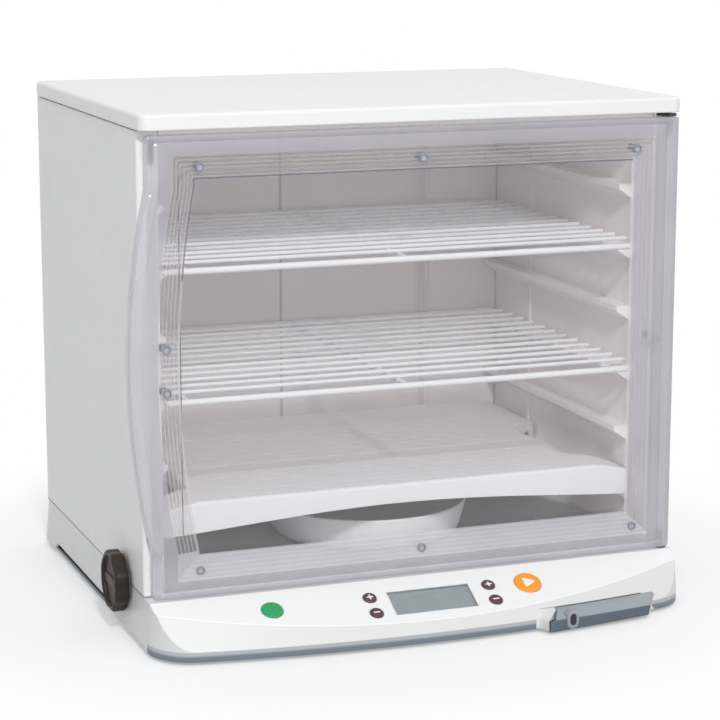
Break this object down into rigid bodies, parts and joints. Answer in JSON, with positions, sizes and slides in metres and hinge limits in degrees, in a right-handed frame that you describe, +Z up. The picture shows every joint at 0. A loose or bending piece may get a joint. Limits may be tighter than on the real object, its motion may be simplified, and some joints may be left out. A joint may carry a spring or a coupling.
{
  "type": "dough_proofer",
  "caption": "Folding dough proofer with a heated base, clear double door, wire racks, heat board, water dish, lift-off lid and side lock knobs",
  "frame": {"origin": "on the standing surface, midway between the sides and midway between front and back", "axes": "+X to the right of somebody facing the door, +Y to the back, +Z up"},
  "size_m": [0.432, 0.3686, 0.3775],
  "materials": {
    "body_white": "satin moulding",
    "lid_white": "smooth gloss",
    "liner_grey": "fine texture",
    "slate_plastic": "fine texture",
    "foot_rubber": "matt",
    "screw_steel": "bright",
    "plate_dark": "dark non-stick coat",
    "foil": "foil",
    "mat_felt": "felt",
    "sensor_metal": "plain",
    "board_green": "lacquered board",
    "switch_black": "moulded",
    "window_clear": "polished",
    "display_grey": "liquid crystal",
    "button_green": "gloss",
    "button_brown": "gloss",
    "button_orange": "gloss",
    "pin_metal": "turned",
    "knob_brown": "fine texture",
    "cam_grey": "moulded",
    "door_clear": "moulded clear plastic",
    "magnet_dark": "sintered",
    "bracket_dark": "dark coat",
    "rack_white": "plastic-dipped wire",
    "board_white": "embossed",
    "dish_white": "smooth"
  },
  "bodies": {
    "base": {"base_shell": "body_white", "bottom_cover": "slate_plastic", "rubber_feet": "foot_rubber", "cover_screws": "screw_steel", "heater_plate": "plate_dark", "heater_element": "foil", "insulation_mat": "mat_felt", "temperature_sensor": "sensor_metal", "thermal_fuse": "sensor_metal", "control_board": "board_green", "key_switches": "switch_black", "display_window": "window_clear", "display_module": "display_grey", "power_board": "board_green", "power_inlet": "switch_black", "inlet_pins": "pin_metal", "right_wall_shell": "body_white", "left_wall_shell": "body_white", "right_wall_liner": "liner_grey", "left_wall_liner": "liner_grey", "magnet_strike": "screw_steel", "back_wall_shell": "body_white", "back_wall_liner": "liner_grey", "fold_hinge_pins": "pin_metal", "door_hinge_brackets": "bracket_dark", "door_hinge_pins": "pin_metal"},
    "door": {"door_front_panel": "door_clear", "door_rear_panel": "door_clear", "door_magnet": "magnet_dark", "door_screws": "screw_steel", "door_grip": "door_clear"},
    "lid": {"lid_shell": "lid_white", "lid_liner": "liner_grey", "lid_screws": "screw_steel"},
    "knob_left": {"lock_knob_left": "knob_brown", "lock_cam_left": "cam_grey"},
    "knob_right": {"lock_knob_right": "knob_brown", "lock_cam_right": "cam_grey"},
    "tray": {"drip_tray": "slate_plastic"},
    "rack_lower": {"rack_lower": "rack_white"},
    "rack_upper": {"rack_upper": "rack_white"},
    "board": {"heat_board": "board_white"},
    "dish": {"water_dish": "dish_white"},
    "power_button": {"power_button": "button_green"},
    "temperature_up_button": {"temperature_up_button": "button_brown"},
    "temperature_down_button": {"temperature_down_button": "button_brown"},
    "time_up_button": {"time_up_button": "button_brown"},
    "time_down_button": {"time_down_button": "button_brown"},
    "start_button": {"start_button": "button_orange"}
  },
  "joints": [
    {"name": "door_swing", "type": "hinge", "parent": "base", "child": "door", "pos_m": [0.1977, -0.12216, 0.2011], "axis": [0, 0, 1], "range_deg": [0, 115]},
    {"name": "lid_lift", "type": "slide", "parent": "base", "child": "lid", "axis": [0, 0, 1], "range_m": [0, 0.06]},
    {"name": "lock_left", "type": "hinge", "parent": "base", "child": "knob_left", "pos_m": [-0.203, -0.06476, 0.038], "axis": [-1, 0, 0], "range_deg": [0, 90]},
    {"name": "lock_right", "type": "hinge", "parent": "base", "child": "knob_right", "pos_m": [0.203, -0.06476, 0.038], "axis": [1, 0, 0], "range_deg": [0, 90]},
    {"name": "tray_slide", "type": "slide", "parent": "base", "child": "tray", "axis": [0, -1, 0], "range_m": [0, 0.05]},
    {"name": "rack_lower_slide", "type": "slide", "parent": "base", "child": "rack_lower", "axis": [0, -1, 0], "range_m": [0, 0.0075]},
    {"name": "rack_upper_slide", "type": "slide", "parent": "base", "child": "rack_upper", "axis": [0, -1, 0], "range_m": [0, 0.0075]},
    {"name": "board_lift", "type": "slide", "parent": "base", "child": "board", "axis": [0, 0, 1], "range_m": [0, 0.008]},
    {"name": "dish_lift", "type": "slide", "parent": "base", "child": "dish", "axis": [0, 0, 1], "range_m": [0, 0.024]},
    {"name": "power_button_press", "type": "slide", "parent": "base", "child": "power_button", "axis": [0, 0.4386, -0.8987], "range_m": [0, 0.001], "stiffness_N_per_m": 700, "springref_m": -0.0006},
    {"name": "temperature_up_button_press", "type": "slide", "parent": "base", "child": "temperature_up_button", "axis": [0, 0.4386, -0.8987], "range_m": [0, 0.001], "stiffness_N_per_m": 700, "springref_m": -0.0006},
    {"name": "temperature_down_button_press", "type": "slide", "parent": "base", "child": "temperature_down_button", "axis": [0, 0.4386, -0.8987], "range_m": [0, 0.001], "stiffness_N_per_m": 700, "springref_m": -0.0006},
    {"name": "time_up_button_press", "type": "slide", "parent": "base", "child": "time_up_button", "axis": [0, 0.4386, -0.8987], "range_m": [0, 0.001], "stiffness_N_per_m": 700, "springref_m": -0.0006},
    {"name": "time_down_button_press", "type": "slide", "parent": "base", "child": "time_down_button", "axis": [0, 0.4386, -0.8987], "range_m": [0, 0.001], "stiffness_N_per_m": 700, "springref_m": -0.0006},
    {"name": "start_button_press", "type": "slide", "parent": "base", "child": "start_button", "axis": [0, 0.4386, -0.8987], "range_m": [0, 0.001], "stiffness_N_per_m": 700, "springref_m": -0.0006}
  ]
}
